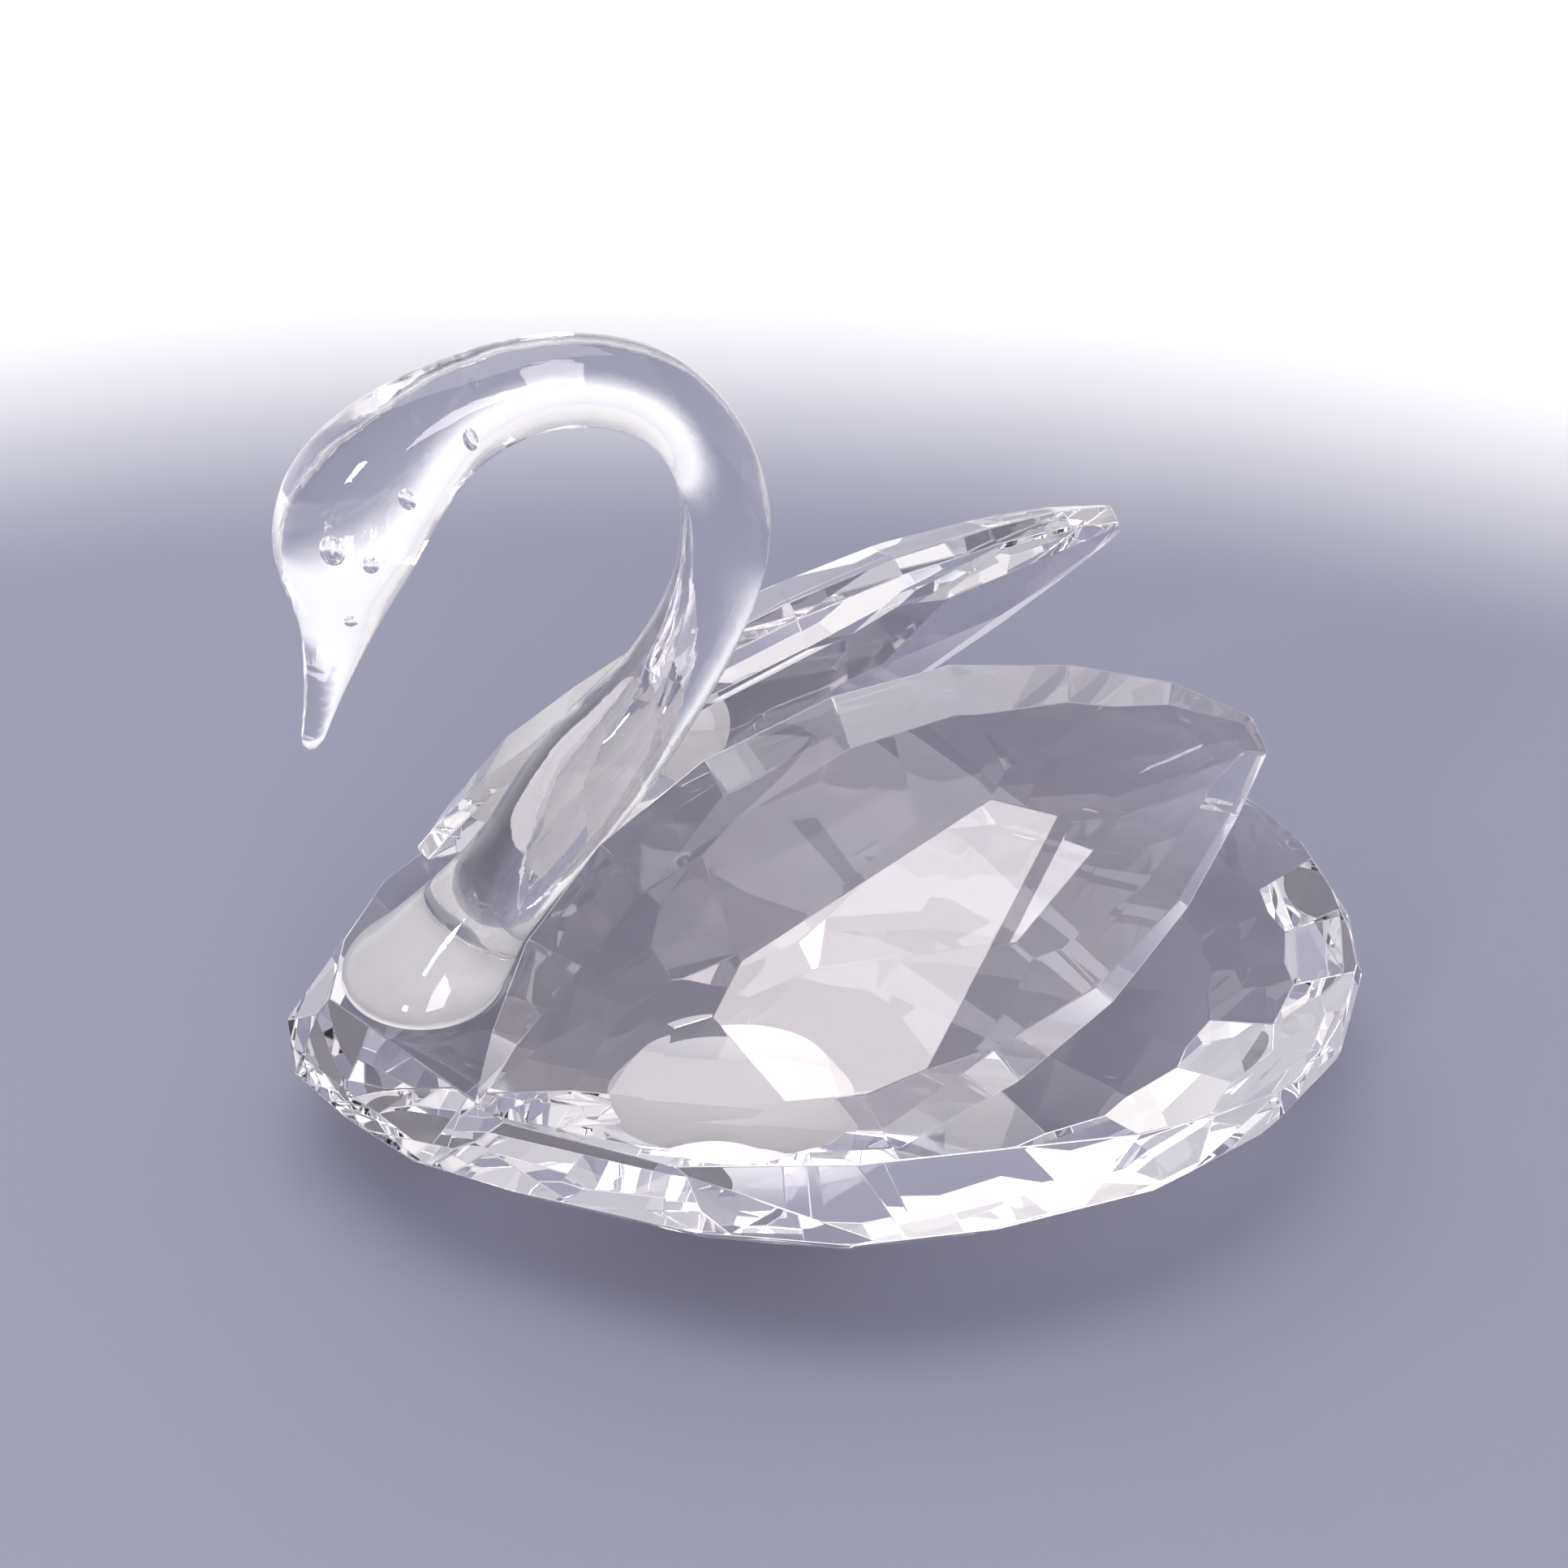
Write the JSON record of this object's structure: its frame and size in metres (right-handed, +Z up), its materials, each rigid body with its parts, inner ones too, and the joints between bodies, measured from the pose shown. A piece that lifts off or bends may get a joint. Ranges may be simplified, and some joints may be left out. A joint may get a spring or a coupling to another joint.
{
  "type": "crystal swan figurine",
  "caption": "Small clear crystal swan: faceted pear-shaped body, raised leaf-shaped wings and a curved drawn-glass neck and head.",
  "frame": {"origin": "centre of the figurine's outline on its resting plane", "axes": "+Z up, +Y from beak to tail, +X to the swan's left"},
  "size_m": [0.0366, 0.05, 0.0389],
  "materials": {
    "cut_crystal": "polished facets, clear",
    "drawn_glass": "fire polished, clear",
    "clear_adhesive": "clear cured adhesive"
  },
  "bodies": {
    "root": {"body_crystal": "cut_crystal", "left_wing": "cut_crystal", "right_wing": "cut_crystal", "neck_and_head": "drawn_glass", "neck_bond": "clear_adhesive", "left_wing_bond": "clear_adhesive", "right_wing_bond": "clear_adhesive"}
  },
  "joints": []
}
